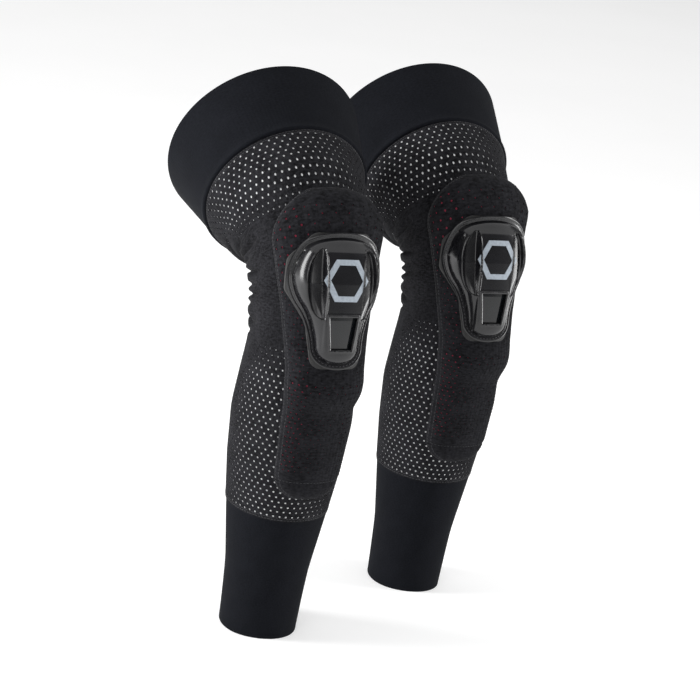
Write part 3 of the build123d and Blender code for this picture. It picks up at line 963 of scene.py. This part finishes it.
def cap_reach(y, height):
    """Distance of the cap's face from the knee's axis."""
    a = height + CAP_MIDDLE
    flange = np.interp(a, PAD_OUTER[:, 0], PAD_OUTER[:, 1]) + FLANGE_LIFT
    dome = np.interp(a, DOME_OUTER[:, 0], DOME_OUTER[:, 1]) + cap_relief(y, height)
    inside = distance_inside(y, height)
    share = np.clip((inside - FLANGE_WIDTH) / SHOULDER, 0, 1)
    rise = np.sqrt(1 - (1 - share) ** 2.2)
    lip = 0.5 * MM * np.exp(-(((inside - 0.9 * MM) / (0.7 * MM)) ** 2))
    groove = 0.45 * MM * np.exp(-(((inside - FLANGE_WIDTH) / (0.8 * MM)) ** 2))
    return flange + (dome - flange) * rise + lip - groove


def knee_points(y, height, reach):
    """Points in a guard's own frame from places on the cap."""
    x = np.sqrt(np.maximum(reach * reach - y * y, 0))
    base = np.array(KNEE_MIDDLE) + np.multiply.outer(height + CAP_MIDDLE, np.array(KNEE_AXIS))
    out = np.multiply.outer(x, np.array(KNEE_FORWARD))
    aside = np.multiply.outer(y, np.array([0, 1.0, 0]))
    return base + out + aside


def cap_place(y, height):
    return KNEE_MIDDLE + KNEE_AXIS * (height + CAP_MIDDLE) + Vector((0, y, 0))


def cut_window(mesh_object):
    """Cut the window's straight-sided hole through the cap's sheet."""
    work = bmesh.new()
    work.from_mesh(mesh_object.data)

    def outside(face):
        offset = face.calc_center_median() - KNEE_MIDDLE
        return float(window_distance(offset.y, offset.dot(KNEE_AXIS) - CAP_MIDDLE))

    corners = [(-half * MM, height * MM) for half, height in WINDOW]
    corners += [(half * MM, height * MM) for half, height in reversed(WINDOW)]
    for corner, after in zip(corners, corners[1:] + corners[:1]):
        near = [face for face in work.faces if outside(face) < 3 * MM]
        pieces = near + list({edge for face in near for edge in face.edges})
        pieces += list({vert for face in near for vert in face.verts})
        edge = cap_place(*after) - cap_place(*corner)
        side = edge.cross(KNEE_FORWARD).normalized()
        bmesh.ops.bisect_plane(work, geom=pieces, dist=1e-7, plane_co=cap_place(*corner), plane_no=side)
    gone = [face for face in work.faces if outside(face) < 0]
    bmesh.ops.delete(work, geom=gone, context="FACES")
    work.to_mesh(mesh_object.data)
    work.free()


def cap_shell(side):
    """The hard shell, with its flange, dome, scoops, blades and window."""
    centre = np.array([0.0, 3 * MM])
    scale = 1 - np.linspace(0, 1, CAP_RINGS, endpoint=False) ** 1.12
    places = centre + (OUTLINE[None] - centre) * scale[:, None, None]
    y, height = places[..., 0], places[..., 1]
    points = knee_points(y, height, cap_reach(y, height)).reshape(-1, 3)
    tip = knee_points(np.array([0.0]), centre[1:], cap_reach(np.array([0.0]), centre[1:]))
    points = np.concatenate([points, tip])
    count = OUTLINE_POINTS
    faces = []
    for ring in range(CAP_RINGS - 1):
        for k in range(count):
            after = (k + 1) % count
            low, high = ring * count, (ring + 1) * count
            faces.append((low + k, high + k, high + after, low + after))
    last = (CAP_RINGS - 1) * count
    faces += [(last + k, len(points) - 1, last + (k + 1) % count) for k in range(count)]
    made = new_object(f"{side}_cap_shell", points, faces)
    cut_window(made)
    thicken(made, CAP_WALL)
    smooth(made, 38)
    placed(side, made, "cap_shell", "knee", ["knee_cap"])


def cap_thread(side):
    """The row of stitches round the flange."""
    steps = np.arange(OUTLINE_POINTS + 1) % OUTLINE_POINTS
    tangent = np.roll(OUTLINE, -1, axis=0) - np.roll(OUTLINE, 1, axis=0)
    tangent /= np.linalg.norm(tangent, axis=1, keepdims=True)
    normal = np.stack([-tangent[:, 1], tangent[:, 0]], -1)
    centre = OUTLINE.mean(0)
    if ((OUTLINE + normal * MM - centre) ** 2).sum() > ((OUTLINE - centre) ** 2).sum():
        normal = -normal
    inner = OUTLINE + normal * 2.6 * MM
    y, height = inner[steps, 0], inner[steps, 1]
    reach = cap_reach(y, height)
    line = knee_points(y, height, reach)
    out = line - knee_points(y * 0, height, reach * 0)
    out /= np.linalg.norm(out, axis=1, keepdims=True)
    made = stitches(f"{side}_cap_thread", [(line, out)], 3.0 * MM, 2.0 * MM, 0.6 * MM)
    placed(side, made, "thread", "knee", ["cap_stitching"])


KEPT_NODES = {"cap_insert": "cap_window", "cap_emblem": "emblem_print", "cap_backer": "backer_sheet"}


def kept_nodes(side):
    """Nodes whose shape is right get their material."""
    for node, slot in KEPT_NODES.items():
        kept = nodes[f"{side}_{node}"]
        kept.data.materials.clear()
        kept.data.materials.append(MATERIALS[slot])


# ---- camera, floor and lights --------------------------------------------------------------------
AZIMUTH = math.radians(62.5)
ELEVATION = math.radians(16.5)
ROLL = math.radians(8.8)
DISTANCE = 1.636
LENS = 103.5
TARGET = Vector((0.0615, -0.0325, 0.2339))
FLOOR_HALF = 14  # metres
FLOOR_GLOW = 0.3
WORLD_STRENGTH = 0.16


def camera():
    away = Vector((-math.sin(AZIMUTH) * math.cos(ELEVATION), math.cos(AZIMUTH) * math.cos(ELEVATION),
                   -math.sin(ELEVATION)))
    level = Vector((math.cos(AZIMUTH), math.sin(AZIMUTH), 0))
    upright = level.cross(away)
    right = level * math.cos(ROLL) + upright * math.sin(ROLL)
    top = upright * math.cos(ROLL) - level * math.sin(ROLL)
    data = bpy.data.cameras.new("camera")
    data.lens = LENS
    data.sensor_width = 36
    data.clip_end = 50
    made = bpy.data.objects.new("camera", data)
    turn = Matrix((right, top, -away)).transposed().to_4x4()
    made.matrix_world = Matrix.Translation(TARGET - away * DISTANCE) @ turn
    bpy.context.scene.collection.objects.link(made)
    bpy.context.scene.camera = made


def floor():
    far = FLOOR_HALF
    made = new_object("floor", [(-far, -far, 0), (far, -far, 0), (far, far, 0), (-far, far, 0)],
                      [(0, 1, 2, 3)])
    pale, tree, surface = shader("floor", 0.9)
    place = tree.nodes.new("ShaderNodeTexCoord").outputs["Object"]
    clouds = noise(tree, place, 3.0)
    shades = colours(tree, clouds, [(0.3, (0.86, 0.86, 0.86)), (0.7, (0.88, 0.88, 0.88))])
    tree.links.new(shades, surface.inputs["Base Color"])
    surface.inputs["Specular IOR Level"].default_value = 0.1
    surface.inputs["Emission Color"].default_value = (1, 1, 1, 1)
    surface.inputs["Emission Strength"].default_value = FLOOR_GLOW
    made.data.materials.append(pale)


def soft_light(name, place, aim, size, power):
    data = bpy.data.lights.new(name, "AREA")
    data.shape = "RECTANGLE"
    data.size, data.size_y = size
    data.energy = power
    made = bpy.data.objects.new(name, data)
    made.location = place
    made.rotation_euler = (Vector(place) - Vector(aim)).to_track_quat("Z", "Y").to_euler()
    bpy.context.scene.collection.objects.link(made)


def lights():
    middle = (0.0, 0.0, 0.24)
    soft_light("key", (-0.45, -1.7, 0.75), middle, (0.7, 1.5), 40)
    soft_light("front", (1.9, -1.5, 1.0), middle, (1.8, 1.2), 16)
    soft_light("rim", (0.55, 1.7, 0.6), middle, (0.5, 1.3), 20)
    soft_light("ceiling", (-1.6, 1.0, 5.0), (-1.6, 1.0, 0.0), (11.0, 11.0), 340)
    world = bpy.data.worlds.new("studio")
    world.use_nodes = True
    world.node_tree.nodes["Background"].inputs["Color"].default_value = (1, 1, 1, 1)
    world.node_tree.nodes["Background"].inputs["Strength"].default_value = WORLD_STRENGTH
    bpy.context.scene.world = world
    bpy.context.scene.view_settings.view_transform = "Standard"


camera()
floor()
lights()
for guard in SIDES:
    for make in (lower_cuff, calf_sleeve, thigh_sleeve, linings, upper_cuff, grips, seams, pad_covers,
                 foams, pad_seams, cap_shell, cap_thread, kept_nodes):
        make(guard)
